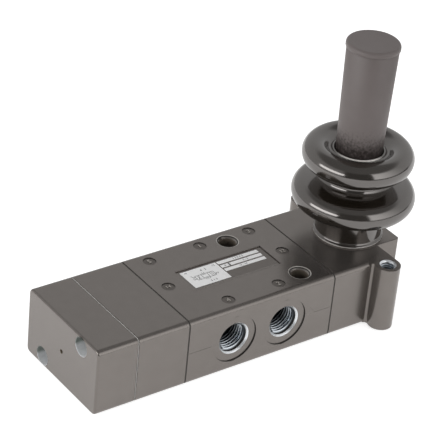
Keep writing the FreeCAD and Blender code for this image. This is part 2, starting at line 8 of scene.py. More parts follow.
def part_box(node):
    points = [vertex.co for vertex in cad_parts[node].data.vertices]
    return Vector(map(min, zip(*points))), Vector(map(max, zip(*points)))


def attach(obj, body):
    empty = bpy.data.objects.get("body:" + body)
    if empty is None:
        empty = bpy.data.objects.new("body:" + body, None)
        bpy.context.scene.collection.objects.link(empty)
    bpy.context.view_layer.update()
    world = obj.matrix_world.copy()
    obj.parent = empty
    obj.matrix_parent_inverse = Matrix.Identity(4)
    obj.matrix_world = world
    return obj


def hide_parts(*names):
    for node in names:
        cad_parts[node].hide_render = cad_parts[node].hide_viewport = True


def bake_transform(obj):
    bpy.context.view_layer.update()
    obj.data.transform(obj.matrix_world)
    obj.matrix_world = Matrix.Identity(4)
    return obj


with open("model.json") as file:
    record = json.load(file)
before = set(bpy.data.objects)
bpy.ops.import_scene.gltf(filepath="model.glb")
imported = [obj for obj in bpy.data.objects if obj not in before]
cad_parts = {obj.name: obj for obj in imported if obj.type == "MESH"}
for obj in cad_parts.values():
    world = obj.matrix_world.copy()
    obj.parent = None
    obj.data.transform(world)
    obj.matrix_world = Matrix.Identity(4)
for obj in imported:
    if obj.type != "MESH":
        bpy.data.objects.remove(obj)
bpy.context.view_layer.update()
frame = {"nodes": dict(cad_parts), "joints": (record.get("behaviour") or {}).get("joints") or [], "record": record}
mm = 0.001
record = frame["record"]
mounts = {m["name"]: m for m in record["mounts"]}
nodes = frame["nodes"]
hinge = next(j for j in frame["joints"] if j["name"] == "lever_swing")
leverX = hinge["pos_m"][0]
barLow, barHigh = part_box("valve_body")
barTop = barHigh.z
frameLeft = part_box("end_cap")[0].x
labelLow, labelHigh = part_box("label_plate")
print("frame loaded", len(nodes), "nodes")


# A socket that takes plain arithmetic
class Wire:
    def __init__(self, paint, socket):
        self.paint = paint
        self.socket = socket

    def maths(self, operation, *values):
        return self.paint.add("ShaderNodeMath", {"operation": operation}, values)

    def __add__(self, other):
        return self.maths("ADD", self, other)

    def __sub__(self, other):
        return self.maths("SUBTRACT", self, other)

    def __rsub__(self, other):
        return self.maths("SUBTRACT", other, self)

    def __mul__(self, other):
        return self.maths("MULTIPLY", self, other)

    def __truediv__(self, other):
        return self.maths("DIVIDE", self, other)

    def __pow__(self, other):
        return self.maths("POWER", self, other)

    def __lt__(self, other):
        return self.maths("LESS_THAN", self, other)

    def __gt__(self, other):
        return self.maths("GREATER_THAN", self, other)

    __radd__ = __add__
    __rmul__ = __mul__


class Paint:
    def __init__(self, name, tree=None):
        if name:
            self.material = bpy.data.materials.new(name)
            self.material.use_nodes = True
            tree = self.material.node_tree
            self.shader = tree.nodes["Principled BSDF"]
        self.tree = tree

    def add(self, kind, settings=None, values=(), output=0):
        node = self.tree.nodes.new(kind)
        for key, value in (settings or {}).items():
            setattr(node, key, value)
        pairs = values.items() if isinstance(values, dict) else enumerate(values)
        for key, value in pairs:
            self.plug(node.inputs[key], value)
        return Wire(self, node.outputs[output])

    def plug(self, socket, value):
        if isinstance(value, Wire):
            self.tree.links.new(value.socket, socket)
        else:
            socket.default_value = value

    def place(self):
        return self.add("ShaderNodeTexCoord", output="Object")

    def split(self, vector):
        node = self.add("ShaderNodeSeparateXYZ", None, (vector,)).socket.node
        return [Wire(self, out) for out in node.outputs]

    def distance(self, axis):
        # how far a point lies from the part's origin along one axis, either way
        reach = self.split(self.place())["xyz".index(axis)]
        return reach.maths("ABSOLUTE", reach)

    def grain(self, scale, detail=3.0, rough=0.5):
        values = {"Vector": self.place(), "Scale": scale, "Detail": detail, "Roughness": rough}
        return self.add("ShaderNodeTexNoise", None, values)

    def between(self, mask, low, high):
        values = {0: mask, 6: low, 7: high}
        return self.add("ShaderNodeMix", {"data_type": "RGBA"}, values, output=2)

    def mottled(self, mask, level, spread, warm=0.0, green=0.1):
        # two shades of one colour, spread evenly about its level
        return self.between(mask, *[shade(level + side * spread, warm, green) for side in (-1, 1)])

    def ramp(self, value, start, stop, low=0.0, high=1.0):
        return self.add("ShaderNodeMapRange", {"interpolation_type": "SMOOTHSTEP"}, (value, start, stop, low, high))

    def nearEdge(self, reach, likenessSpan):
        # 1 on a hard edge, fading out within the reach, and how far the edge leans along the part
        true = self.add("ShaderNodeNewGeometry", output="Normal")
        soft = self.add("ShaderNodeBevel", {"samples": 4}, {"Radius": reach})
        likeness = self.add("ShaderNodeVectorMath", {"operation": "DOT_PRODUCT"}, (true, soft), "Value")
        lean = self.split(soft)[0] - self.split(true)[0]
        return self.ramp(likeness, *likenessSpan), lean.maths("ABSOLUTE", lean)

    def bump(self, height, depth, strength=1.0, softEdge=None):
        values = {"Height": height, "Distance": depth, "Strength": strength}
        if softEdge:
            edge = self.add("ShaderNodeBevel", {"samples": 6}, {"Radius": softEdge})
            values["Normal"] = edge
        return self.add("ShaderNodeBump", None, values)

    def finish(self, **sockets):
        for key, value in sockets.items():
            self.plug(self.shader.inputs[key.replace("_", " ")], value)
        return self.material


def shade(level, warm=0.0, green=0.1):
    # linear colour from an sRGB level out of 255, warmed a little towards brown
    tones = [(level + warm * k) / 255 for k in (1.0, green, -1.0)]
    return tuple((t / 12.92 if t < 0.04045 else ((t + 0.055) / 1.055) ** 2.4) for t in tones) + (1.0,)


coatFinish = {
    "level": 117,
    "plateLevel": 103,
    "markLevel": 90,
    # colour of the painted dark reflection along the outer edges
    "edgeLevel": 42,
    "spread": 4,
    "warm": 4.8,
    "green": -0.15,
    "mottle": 260.0,
    "grain": 2600.0,
    "grainDepth": 0.004 * mm,
    "metal": 0.75,
    "specular": 0.6,
    "roughness": 0.24,
    "roughnessSpread": 0.05,
    "edgeReach": 0.65 * mm,
    "edgeLikeness": (0.995, 0.93),
    "seamsFrom": 3 * mm,
    "seamLean": 0.05,
}


def coatedAluminium(name, level, edges=True):
    # painted dark reflection lines run along the outer edges, but not along the seams between the blocks
    paint = Paint(name)
    f = coatFinish
    tint = f["warm"], f["green"]
    fine = paint.grain(f["grain"], 4.0, 0.6)
    base = paint.mottled(paint.grain(f["mottle"]), level, f["spread"], *tint)
    if edges:
        edge, lean = paint.nearEdge(f["edgeReach"], f["edgeLikeness"])
        # past the end cap's own end, an edge that leans along the bar is a seam
        seam = (paint.split(paint.place())[0] > frameLeft + f["seamsFrom"]) * (lean > f["seamLean"])
        base = paint.between(edge * (1 - seam), base, shade(f["edgeLevel"], *tint))
    return paint.finish(
        Base_Color=base,
        Roughness=f["roughness"] + (fine - 0.5) * f["roughnessSpread"],
        Metallic=f["metal"],
        Specular_IOR_Level=f["specular"],
        Normal=paint.bump(fine, f["grainDepth"], 0.6),
    )


edgeRound = 0.1 * mm
turnedFinish = {
    "dark": (0.74, 0.77, 0.8, 1),
    "light": (0.9, 0.92, 0.94, 1),
    "metal": 0.7,
    "roughness": 0.28,
    "roughnessSpread": 0.1,
    "grain": 900.0,
    "grainDepth": 0.01 * mm,
}


def turnedAluminium():
    paint = Paint("turned_aluminium")
    f = turnedFinish
    marks = paint.grain(f["grain"], 2.0)
    return paint.finish(
        Base_Color=paint.between(marks, f["dark"], f["light"]),
        Metallic=f["metal"],
        Roughness=f["roughness"] + marks * f["roughnessSpread"],
        Normal=paint.bump(marks, f["grainDepth"], 0.5, edgeRound),
    )


threadFinish = {
    "dark": (0.02, 0.024, 0.028, 1),
    "dim": 0.75,
    "fade": 0.6 * mm,
    "metal": 0.8,
    "roughness": 0.24,
    "roughnessSpread": 0.1,
    "grain": 1500.0,
    "grainDepth": 0.01 * mm,
}


def threadMetal(name, axis, deep, mouth, bright, firstTurn=1.0):
    # painted light near the mouth of a hole and painted shade further in; the first turn lies in painted shade of
    # the chamfer
    paint = Paint(name)
    f = threadFinish
    marks = paint.grain(f["grain"], 2.0)
    dim = tuple(v * f["dim"] for v in bright) + (1,)
    depth = paint.distance(axis)
    inside = paint.ramp(depth, deep, mouth) * paint.ramp(depth, firstTurn, firstTurn - f["fade"])
    tone = paint.between(inside, f["dark"], paint.between(marks, dim, bright + (1,)))
    return paint.finish(
        Base_Color=tone,
        Metallic=f["metal"],
        Roughness=f["roughness"] + marks * f["roughnessSpread"],
        Normal=paint.bump(marks, f["grainDepth"], 0.4),
    )


recessFinish = {
    "upper": (0.3, 0.34, 0.31, 1),
    "lower": (0.97, 0.98, 1.0, 1),
    "groove": (0.1, 0.11, 0.12, 1),
    "grooveShare": 0.1,
    "ringPitch": 0.5 * mm,
    "ringDepth": 0.02 * mm,
    "fade": 0.25,
    "roughness": 0.32,
    "roughnessSpread": 0.1,
    "grain": 900.0,
}


def recessMetal(near, far):
    # turned wall of the two deep screw recesses: fine rings, with painted shade towards its upper side and a painted
    # highlight towards its lower side
    paint = Paint("recess_metal")
    f = recessFinish
    x, y, z = paint.split(paint.place())
    height = z - far[0] - (y < 0.0) * (near[0] - far[0])
    rings = x.maths("SINE", x * (2 * pi / f["ringPitch"]))
    tone = paint.between(paint.ramp(height, 0.0, -f["fade"] * far[1]), f["upper"], f["lower"])
    tone = paint.between(rings * f["grooveShare"] + f["grooveShare"], tone, f["groove"])
    rough = f["roughness"] + paint.grain(f["grain"]) * f["roughnessSpread"]
    return paint.finish(Base_Color=tone, Roughness=rough, Normal=paint.bump(rings, f["ringDepth"], 0.5))


# looks of the plain walls, metals, rubbers and inks, whose colours come with each of them
wallFinish = {"roughness": 0.4, "roughnessSpread": 0.2, "grain": 700.0, "grainDepth": 0.02 * mm}
metalFinish = {"bluer": (1.03, 1.02), "roughnessSpread": 0.12, "grain": 1100.0, "grainDepth": 0.01 * mm}
matterFinish = {"spread": 5, "roughnessSpread": 0.15, "grain": 900.0, "grainDepth": 0.02 * mm}
inkFinish = {"spread": 4, "roughnessSpread": 0.08, "grain": 1300.0, "grainDepth": 0.008 * mm}


def shadedWall(name, axis, deep, mouth, dark, light):
    # wall of a hole with painted shade that darkens with its depth
    paint = Paint(name)
    f = wallFinish
    marks = paint.grain(f["grain"], 2.0)
    tone = paint.between(paint.ramp(paint.distance(axis), deep, mouth), shade(*dark), shade(*light))
    rough = f["roughness"] + marks * f["roughnessSpread"]
    return paint.finish(Base_Color=tone, Roughness=rough, Normal=paint.bump(marks, f["grainDepth"], 0.5))


def plainMetal(name, low, high, roughness):
    paint = Paint(name)
    f = metalFinish
    marks = paint.grain(f["grain"])
    tone = paint.between(marks, *[(level, level, level * blue, 1) for level, blue in zip((low, high), f["bluer"])])
    rough = roughness + marks * f["roughnessSpread"]
    normal = paint.bump(marks, f["grainDepth"], 0.5, edgeRound)
    return paint.finish(Base_Color=tone, Metallic=1.0, Roughness=rough, Normal=normal)


def plainMatter(name, level, warm, roughness):
    paint = Paint(name)
    f = matterFinish
    marks = paint.grain(f["grain"])
    tone = paint.mottled(marks, level, f["spread"], warm)
    rough = roughness + (marks - 0.5) * f["roughnessSpread"]
    normal = paint.bump(marks, f["grainDepth"], 0.5, edgeRound)
    return paint.finish(Base_Color=tone, Roughness=rough, Normal=normal)


bootFinish = {
    "levels": (21, 28),
    "warm": 5.0,
    "index": 1.7,
    "tint": (1.0, 0.95, 0.92, 1),
    "specular": 1.0,
    "roughness": 0.1,
    "broadGrain": 120.0,
    "grain": 1600.0,
    "grainDepth": 0.003 * mm,
    # pale colour of the painted highlights on the lips
    "lipLevel": 255,
    "lipFrom": 68.0 * mm,
    "lipReach": 11.0 * mm,
    "lipFront": (-0.62, -0.78),
    "lipFade": (0.45, 0.85),
    "footLip": 0.55 * mm,
    "footShare": 0.6,
}


def bootRubber():
    # polished rubber, with a painted highlight on the front of the lip round the grip and on the lip at its foot
    paint = Paint("boot_rubber")
    f = bootFinish
    fine = paint.grain(f["grain"])
    broad = paint.grain(f["broadGrain"], 2.0)
    base = paint.between(broad, *[shade(level, f["warm"]) for level in f["levels"]])
    x, y, z = paint.split(paint.place())
    x = x - leverX
    reach = (x ** 2.0 + y ** 2.0) ** 0.5
    # painted highlight on the lip round the grip, strongest on its front
    front = paint.ramp((x * f["lipFront"][0] + y * f["lipFront"][1]) / reach, *f["lipFade"])
    lipHighlight = (reach < f["lipReach"]) * (z > f["lipFrom"]) * front
    footLip = z < barTop + f["footLip"]
    base = paint.between(lipHighlight + footLip * f["footShare"], base, shade(f["lipLevel"], f["warm"]))
    return paint.finish(
        Base_Color=base,
        Roughness=f["roughness"] + broad * 0.03 + fine * 0.02,
        Specular_IOR_Level=f["specular"],
        Specular_Tint=f["tint"],
        IOR=f["index"],
        Normal=paint.bump(fine, f["grainDepth"], 0.5),
    )


gripFinish = {
    "level": 109,
    "spread": 4,
    "warm": 5.0,
    "green": -0.6,
    # colour of the painted shade at the foot
    "footLevel": 34,
    "footSpan": (81.0 * mm, 68.0 * mm),
    "footSpeckle": 14 * mm,
    "speckle": 1000.0,
    "mottle": 150.0,
    "grain": 1900.0,
    "grainDepth": 0.02 * mm,
    "roughness": 0.5,
    "roughnessSpread": 0.15,
    "specular": 0.5,
}


def gripPlastic():
    paint = Paint("grip_plastic")
    f = gripFinish
    tint = f["warm"], f["green"]
    fine = paint.grain(f["grain"], 5.0, 0.65)
    base = paint.mottled(paint.grain(f["mottle"], 2.0), f["level"], f["spread"], *tint)
    # speckled painted shade and painted dark reflection of the boot, down where the grip meets it
    height = paint.split(paint.place())[2] + (paint.grain(f["speckle"], 2.0) - 0.5) * f["footSpeckle"]
    base = paint.between(paint.ramp(height, *f["footSpan"]), base, shade(f["footLevel"], *tint))
    return paint.finish(
        Base_Color=base,
        Roughness=f["roughness"] + (fine - 0.5) * f["roughnessSpread"],
        Specular_IOR_Level=f["specular"],
        Normal=paint.bump(fine, f["grainDepth"], 0.7),
    )


def printInk(name, level, roughness, warm=-1.0):
    paint = Paint(name)
    f = inkFinish
    fine = paint.grain(f["grain"])
    tone = paint.mottled(fine, level, f["spread"], warm)
    rough = roughness + fine * f["roughnessSpread"]
    return paint.finish(Base_Color=tone, Roughness=rough, Normal=paint.bump(fine, f["grainDepth"], 0.5))


finishes = {
    "coated_aluminium": coatedAluminium("coated_aluminium", coatFinish["level"]),
    "plain_aluminium": plainMetal("plain_aluminium", 0.66, 0.8, 0.3),
    "steel": plainMetal("zinc_steel", 0.4, 0.56, 0.28),
    "spring_steel": plainMetal("spring_steel", 0.34, 0.46, 0.3),
    "boot_rubber": bootRubber(),
    "seal_rubber": plainMatter("seal_rubber", 40, 0.0, 0.6),
    "gasket_rubber": plainMatter("gasket_rubber", 66, 3.0, 0.7),
    "grip_plastic": gripPlastic(),
    "cage_plastic": plainMatter("cage_plastic", 70, 4.0, 0.5),
    "collar_plastic": plainMatter("collar_plastic", 34, 1.0, 0.4),
    "bush_bronze": plainMetal("bush_bronze", 0.5, 0.6, 0.3),
    "label_foil": coatedAluminium("label_foil", coatFinish["plateLevel"], False),
}
bare = turnedAluminium()
# the flanks carry a painted highlight and the crests painted shade, though both are the same metal
portCrest = threadMetal("port_thread_crest", "y", 13.0 * mm, 24.0 * mm, (0.02, 0.025, 0.03))
portFlank = threadMetal("port_thread_flank", "y", 14.5 * mm, 20.5 * mm, (0.88, 0.94, 1.0), 22.7 * mm)
lugCrest = threadMetal("lug_thread_crest", "z", 21.0 * mm, 27.0 * mm, (0.2, 0.25, 0.3))
lugFlank = threadMetal("lug_thread_flank", "z", 19.0 * mm, 25.5 * mm, (0.86, 0.93, 1.0))
portWall = shadedWall("port_wall", "y", 16.0 * mm, 24.0 * mm, (12, 1), (60, 3))
mountWall = shadedWall("mount_wall", "z", 20.0 * mm, 29.0 * mm, (20, 3), (84, 9))
screwBoxes = [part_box(name) for name in ("cap_screw_near", "cap_screw_far")]
recessWall = recessMetal(*[((low.z + high.z) / 2, high.z - low.z) for low, high in screwBoxes])
# painted shade in the walls of the recessed marks and of the spotface rings
markShadeWall = plainMatter("mark_wall", 20, 3.0, 0.5)
markFloor = coatedAluminium("mark_floor", coatFinish["markLevel"], False)
ventWall = plainMatter("vent_wall", 108, 12.0, 0.6)
plainCoat = coatedAluminium("coated_recess", coatFinish["level"], False)
whitePrint = printInk("white_print", 255, 0.42, 0.0)
darkPrint = printInk("dark_print", 50, 0.5)
# pale coat with a painted highlight, on the front of the label recess and on the port numbers
highlightCoat = plainMatter("worn_coat", 160, 6.0, 0.3)
# painted highlight on the rims of the mounting holes
rimHighlightCoat = plainMatter("rim_coat", 172, 5.0, 0.25)
paleSeal = plainMatter("pale_seal", 205, 3.0, 0.5)
for entry in record["subparts"]:
    mesh = nodes[entry["node"]].data
    mesh.materials.clear()
    mesh.materials.append(finishes[entry["material_slot"]])
print("materials ready", len(bpy.data.materials))


def keep(bm, name, materials, body="valve", smoothBelow=35.0):
    # turns a bmesh into a piece with sharp edges where its faces turn hard
    for face in bm.faces:
        face.smooth = True
    for edge in bm.edges:
        edge.smooth = edge.calc_face_angle(0.0) < radians(smoothBelow)
    mesh = bpy.data.meshes.new(name)
    bm.to_mesh(mesh)
    bm.free()
    for material in materials:
        mesh.materials.append(material)
    piece = bpy.data.objects.new(name, mesh)
    bpy.context.scene.collection.objects.link(piece)
    if body:
        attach(piece, body)
    return piece


# The four blocks: a welded copy of each solid with softened edges, and its machined faces in bare metal
skin = {
    "weld": 0.002 * mm,
    "flat": 0.4,
    "hard": 25.0,
    "softened": (30, 130),
    "edge": 0.14 * mm,
    "rimEdge": 0.22 * mm,
    "near": 0.02 * mm,
    "wallSlack": 1.004,
    "endSlack": 0.05 * mm,
    "mouthReach": 0.62 * mm,
    "mouthDepth": 1.5 * mm,
}
spotface = {"radius": 10.4 * mm, "slack": 0.1 * mm, "clear": 0.3 * mm, "deepest": 1.2 * mm}
# materials of a skin, in the order of the numbers that the face pickers give
(coated, bareMetal, portInside, mountInside, markShadeSide, markBottom,
 ventSide, highlighted, plain, recessInside, mountRimHighlight) = range(11)
skinFinishes = [
    finishes["coated_aluminium"], bare, portWall, mountWall, markShadeWall, markFloor,
    ventWall, highlightCoat, plainCoat, recessWall, rimHighlightCoat,
]
ports = {name: mount for name, mount in mounts.items() if name.startswith("port_")}


def fromAxis(point, pos, axis):
    gap = point - Vector(pos)
    along = gap.dot(Vector(axis))
    return (gap - Vector(axis) * along).length, along


def within(point, low, high, reachX, reachY):
    return low.x - reachX < point.x < high.x + reachX and low.y - reachY < point.y < high.y + reachY


def portFace(points):
    for mount in mounts.values():
        if mount["kind"] != "threaded_hole":
            continue
        wall = mount["dims"]["r_mm"] * mm
        end = mount["dims"]["length_mm"] * mm / 2
        reaches = [fromAxis(p, mount["pos_m"], mount["axis"]) for p in points]
        widest = max(r for r, along in reaches)
        past = [abs(along) - end for r, along in reaches]
        if widest < wall * skin["wallSlack"] and max(past) < skin["endSlack"]:
            return portInside
        if widest < wall + skin["mouthReach"] and -skin["near"] < min(past) and max(past) < skin["mouthDepth"]:
            return bareMetal
        # the wall of a spotface ring carries painted shade
        onRing = [abs(r - spotface["radius"]) < spotface["slack"] and 0 < along - end for r, along in reaches]
        if all(onRing) and max(past) < skin["mouthDepth"]:
            return markShadeSide
    return coated


pattern = mounts["mounting_holes"]["dims"]
holeReach = pattern["pcd_mm"] * mm / 2
portTwo = Vector(ports["port_2"]["pos_m"])
portThree = Vector(ports["port_3"]["pos_m"])
holeOffset = sqrt(holeReach ** 2 - ((portThree.x - portTwo.x) / 2) ** 2)
holeCentres = [Vector((portTwo.x, holeOffset, 0)), Vector((portThree.x, -holeOffset, 0))]
holeMouth = {"wall": pattern["hole_r_mm"] * mm * 1.01, "radius": 4.5 * mm, "rim": 0.35 * mm, "slack": 0.05 * mm}
topMarks = {"deepest": 0.8 * mm, "plateReach": 1.3 * mm, "ends": 2 * mm, "sides": 3 * mm, "wall": 0.08 * mm}


def bodyFace(points):
    for hole in holeCentres:
        radii = [(Vector((p.x, p.y, 0)) - hole).length for p in points]
        if max(radii) < holeMouth["wall"]:
            return mountInside
        if all(abs(r - holeMouth["radius"]) < holeMouth["rim"] for r in radii):
            return mountRimHighlight
    lowest, highest = min(p.z for p in points), max(p.z for p in points)
    t = topMarks
    if barTop - t["deepest"] < lowest < barTop - skin["near"]:
        if all(within(p, labelLow, labelHigh, t["plateReach"], t["plateReach"]) for p in points):
            # the front faces round the label plate carry a painted highlight
            front = max(p.y for p in points) < labelLow.y and highest > barTop - skin["near"] / 2
            return highlighted if front else plain
        if all(within(p, barLow, barHigh, -t["ends"], -t["sides"]) for p in points):
            return markShadeSide if highest - lowest > t["wall"] else markBottom
    return portFace(points)


capHoles = {"recessReach": 0.8 * mm, "ventReach": 1.2 * mm}


def capFace(points):
    # the two deep screw recesses have bright walls, and the vent a brown one
    for low, high in screwBoxes:
        centre = (low + high) / 2
        widest = max(hypot(p.y - centre.y, p.z - centre.z) for p in points)
        if widest < (high.y - low.y) / 2 + capHoles["recessReach"]:
            return recessInside
    if max(hypot(p.y, p.z - barTop / 2) for p in points) < capHoles["ventReach"]:
        return ventSide
    return coated


def plainFace(points):
    return coated


def outside(point, low, high):
    # true where a point lies on the outer faces of a block, or in the shallow marks on its top
    near = skin["near"]
    ends = min(abs(point.x - low.x), abs(point.x - high.x))
    sides = min(abs(point.y - low.y), abs(point.y - high.y))
    return min(ends, sides) < near or point.z > barTop - near or point.z < near


def byPort(point):
    clear = spotface["radius"] + spotface["clear"]
    return abs(point.y) > barHigh.y - spotface["deepest"] and any(
        fromAxis(point, m["pos_m"], m["axis"])[0] < clear for m in ports.values())


def onMountRim(point):
    flat = Vector((point.x, point.y, 0))
    return point.z > barTop - skin["near"] and any(
        abs((flat - hole).length - holeMouth["radius"]) < holeMouth["slack"] for hole in holeCentres)


def blockSkin(node, pickFace):
    low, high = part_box(node)
    least, most = skin["softened"]
    bm = bmesh.new()
    bm.from_mesh(nodes[node].data)
    bmesh.ops.remove_doubles(bm, verts=bm.verts, dist=skin["weld"])
    bmesh.ops.dissolve_degenerate(bm, edges=bm.edges, dist=skin["weld"])
    bmesh.ops.dissolve_limit(bm, angle_limit=radians(skin["flat"]), verts=bm.verts, edges=bm.edges)
    bm.normal_update()
    hard = [
        e for e in bm.edges if e.is_manifold and least < degrees(e.calc_face_angle(0.0)) < most
        and all(outside(v.co, low, high) for v in e.verts) and not all(byPort(v.co) for v in e.verts)
    ]
    rims = [e for e in hard if all(onMountRim(v.co) for v in e.verts)]
    others = [e for e in hard if e not in set(rims)]
    for edges, width in ((rims, skin["rimEdge"]), (others, skin["edge"])):
        bmesh.ops.bevel(bm, geom=[e for e in edges if e.is_valid], offset=width, offset_type="OFFSET", segments=2,
                        profile=0.5, affect="EDGES", clamp_overlap=True, material=-1)
    for face in bm.faces:
        face.material_index = pickFace([v.co for v in face.verts])
    piece = keep(bm, node + "_skin", skinFinishes, "valve", skin["hard"])
    even = piece.modifiers.new("flat faces stay flat", "WEIGHTED_NORMAL")
    even.keep_sharp = True
    even.weight = 100
    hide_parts(node)


blockSkin("end_cap", capFace)
blockSkin("spring_housing", plainFace)
blockSkin("valve_body", bodyFace)
blockSkin("lever_housing", portFace)
print("blocks skinned")


# Screw threads cut in the ports and in the lugs
threadSection = (("wall", 0.16), ("crest", 0.48), ("crest", 0.86), ("wall", 0.98))
portThread = {
    "pitch": 1.337 * mm,
    "crest": 5.7 * mm,
    "rootGap": 0.03 * mm,
    "turns": 7,
    "steps": 40,
    "leadIn": 0.22 * mm,
    "metals": [portFlank, portCrest, bare],
}
lugThread = {
    "pitch": 1.0 * mm,
    "crest": 2.48 * mm,
    "rootGap": 0.02 * mm,
    "turns": 28,
    "steps": 24,
    "leadIn": 0.3 * mm,
    "metals": [lugFlank, lugCrest, bare],
}


def cutThread(name, mount, size):
    # a trapezium section carried down the hole as a screw, its corners given as shares of the pitch
    pos, axis = Vector(mount["pos_m"]), Vector(mount["axis"])
    wall = mount["dims"]["r_mm"] * mm - size["rootGap"]
    start = pos + axis * (mount["dims"]["length_mm"] * mm / 2)
    side = axis.orthogonal().normalized()
    radius = {"wall": wall, "crest": size["crest"]}
    bm = bmesh.new()
    corners = [bm.verts.new(start + side * radius[at] - axis * (size["pitch"] * part)) for at, part in threadSection]
    first = bm.faces.new(corners)
    turned = bmesh.ops.spin(
        bm, geom=first.edges[:] + first.verts[:], cent=start, axis=axis,
        dvec=axis * (-size["pitch"] / size["steps"]), angle=-2 * pi * size["turns"],
        steps=size["steps"] * size["turns"], use_merge=False,
    )
    bmesh.ops.contextual_create(bm, geom=[e for e in turned["geom_last"] if isinstance(e, bmesh.types.BMEdge)])
    bmesh.ops.recalc_face_normals(bm, faces=bm.faces)
    for face in bm.faces:
        onCrest = all(fromAxis(v.co, pos, axis)[0] < size["crest"] * 1.003 for v in face.verts)
        face.material_index = 1 if onCrest else 0
    leadIn(bm, start, axis, wall, size)
    keep(bm, name, size["metals"], "valve", 40.0)


def leadIn(bm, mouth, axis, wall, size):
    # bright cone at the start of a thread
    turn = axis.to_track_quat("Z", "Y").to_matrix().to_4x4()
    depth = size["leadIn"]
    rings = []
    for radius, down in ((wall, 0.0), (wall - depth * 0.8, depth), (wall - depth * 0.5, depth + 0.1 * mm)):
        place = Matrix.Translation(mouth - axis * down) @ turn
        ring = bmesh.ops.create_circle(bm, segments=size["steps"] * 2, radius=radius, matrix=place)
        rings.append({e for v in ring["verts"] for e in v.link_edges})
    for one, two in zip(rings, rings[1:]):
        for face in bmesh.ops.bridge_loops(bm, edges=list(one | two))["faces"]:
            face.material_index = 2
            face.normal_update()
            if face.normal.dot(axis) < 0:
                face.normal_flip()


for mountName, mount in mounts.items():
    if mount["kind"] == "threaded_hole":
        cutThread(mountName + "_crests", mount, portThread if mountName.startswith("port") else lugThread)
print("threads cut")


def thicken(bm, depth):
    raised = bmesh.ops.extrude_face_region(bm, geom=bm.faces[:])
    verts = [v for v in raised["geom"] if isinstance(v, bmesh.types.BMVert)]
    bmesh.ops.translate(bm, verts=verts, vec=depth)
    bmesh.ops.recalc_face_normals(bm, faces=bm.faces)


# The pale seal that shows between the cap and the spring housing, a little wavy
capSeal = {
    "wave": 0.10 * mm,
    "ripple": 700.0,
    "drift": 420.0,
    "proud": 0.10 * mm,
    "corner": 2.2 * mm,
    "longEdge": 8 * mm,
    "cuts": 60,
    "thickness": 0.24 * mm,
}


def wavySeal():
    low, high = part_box("cap_gasket")
    c = capSeal
    middle = (low.x + high.x) / 2
    left, right, top = low.y - c["proud"], high.y + c["proud"], high.z + c["proud"]
    bm = bmesh.new()
    outline = [(left, low.z), (right, low.z), (right, top), (left, top)]
    face = bm.faces.new([bm.verts.new((middle, y, z)) for y, z in outline])
    bmesh.ops.bevel(bm, geom=face.verts[:], offset=c["corner"], offset_type="OFFSET", segments=8,
                    profile=0.5, affect="VERTICES", material=-1)
    bmesh.ops.subdivide_edges(bm, edges=[e for e in bm.edges if e.calc_length() > c["longEdge"]], cuts=c["cuts"])
    centre = Vector((middle, 0, barTop / 2))
    for vertex in bm.verts:
        ripple = noise.noise(vertex.co * c["ripple"]) * c["wave"]
        vertex.co += (vertex.co - centre).normalized() * ripple
        vertex.co.x += noise.noise(vertex.co * c["drift"] + Vector((7, 3, 1))) * c["wave"]
    bmesh.ops.translate(bm, verts=bm.verts, vec=(-c["thickness"] / 2, 0, 0))
    thicken(bm, (c["thickness"], 0, 0))
    keep(bm, "cap_seal_bead", [paleSeal], "valve", 35.0)


wavySeal()
print("cap seal laid")


def circleRun(bm, centre, radius, fromAngle, toAngle, steps, last=None):
    # spins one vertex round a point of the XZ plane, joined to the run before, and gives the run's last vertex
    start = bm.verts.new((centre[0] + radius * cos(fromAngle), 0, centre[1] + radius * sin(fromAngle)))
    if last:
        bm.edges.new((last, start))
    turned = bmesh.ops.spin(bm, geom=[start], cent=(centre[0], 0, centre[1]), axis=(0, 1, 0),
                            angle=fromAngle - toAngle, steps=steps, use_merge=False)
    return next(v for v in turned["geom_last"] if isinstance(v, bmesh.types.BMVert))


def lineTo(bm, points, last=None):
    # straight run through points given as (radius, height) from the lever's axis
    for r, z in points:
        vertex = bm.verts.new((leverX + r, 0, z))
        if last:
            bm.edges.new((last, vertex))
        last = vertex
    return last


def turnAboutLever(bm, steps):
    bmesh.ops.spin(bm, geom=bm.verts[:] + bm.edges[:], cent=(leverX, 0, 0), axis=(0, 0, 1),
                   angle=2 * pi, steps=steps, use_merge=True)
    bmesh.ops.remove_doubles(bm, verts=bm.verts, dist=0.002 * mm)
    bmesh.ops.recalc_face_normals(bm, faces=bm.faces)


# The folded boot in millimetres: each fold has a radius, a height, a circle radius and the side it bulges to
bootShape = {
    "wall": 1.5,
    "folds": [
        (15.9, 40.6, 2.2, -1),
        (20.1, 48.3, 5.5, 1),
        (16.2, 57.2, 2.5, -1),
        (17.6, 66.0, 5.5, 1),
        (11.6, 69.7, 1.4, -1),
    ],
    "foldSteps": 18,
    "sleeve": ((12.15, 6.4), (12.6, 1.45), (12.62, 0.02)),
    "lip": (14.6, 1.0),
    "lipRound": 0.45,
    "flare": 1.2,
    "flareRise": 0.8,
    "gripReach": 9.74,
    "beadRadius": 0.72,
    "beadRise": 0.2,
    "beadTurn": (0.12 * pi, 1.5 * pi),
    "turnSteps": 128,
    "holdHeight": 37.5,
    "topHeight": 66.0,
}


def foldAngles(inward):
    folds = bootShape["folds"]
    bulges = [side * radius - inward for r, z, radius, side in folds]
    angles = [0.0]
    for i in range(len(folds) - 1):
        across = folds[i + 1][0] - folds[i][0]
        rise = folds[i + 1][1] - folds[i][1]
        angles.append(atan2(rise, across) - acos((bulges[i] - bulges[i + 1]) / hypot(across, rise)))
    return bulges, angles


